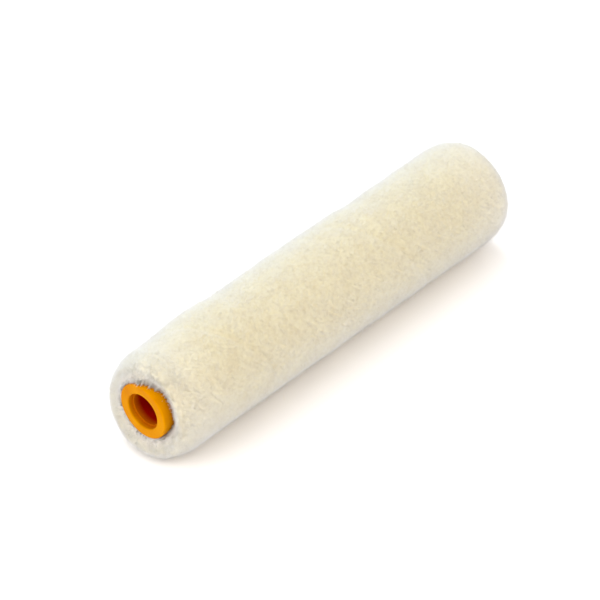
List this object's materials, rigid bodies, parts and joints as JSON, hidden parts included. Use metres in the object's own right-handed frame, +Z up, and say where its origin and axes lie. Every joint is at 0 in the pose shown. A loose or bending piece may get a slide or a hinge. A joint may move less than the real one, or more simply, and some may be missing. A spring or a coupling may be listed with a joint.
{
  "type": "mini paint roller sleeve",
  "caption": "Mini paint roller sleeve: short cream plush pile wound on a plastic core, with a stepped-bore bearing cap in each end.",
  "frame": {"origin": "middle of the sleeve's axis, halfway along the core", "axes": "+Y along the sleeve's axis, away from the near end cap; +Z up with the sleeve lying on its side"},
  "size_m": [0.0276, 0.1164, 0.0273],
  "materials": {
    "core_plastic": "satin extruded polypropylene",
    "bond": "melted adhesive film",
    "backing": "plain woven base cloth",
    "pile": "short dense cream plush",
    "cap_plastic": "satin moulded orange plastic"
  },
  "bodies": {
    "root": {"core_tube": "core_plastic", "bond_film": "bond", "backing_cloth": "backing", "pile": "pile", "near_end_cap": "cap_plastic", "far_end_cap": "cap_plastic"}
  },
  "joints": []
}
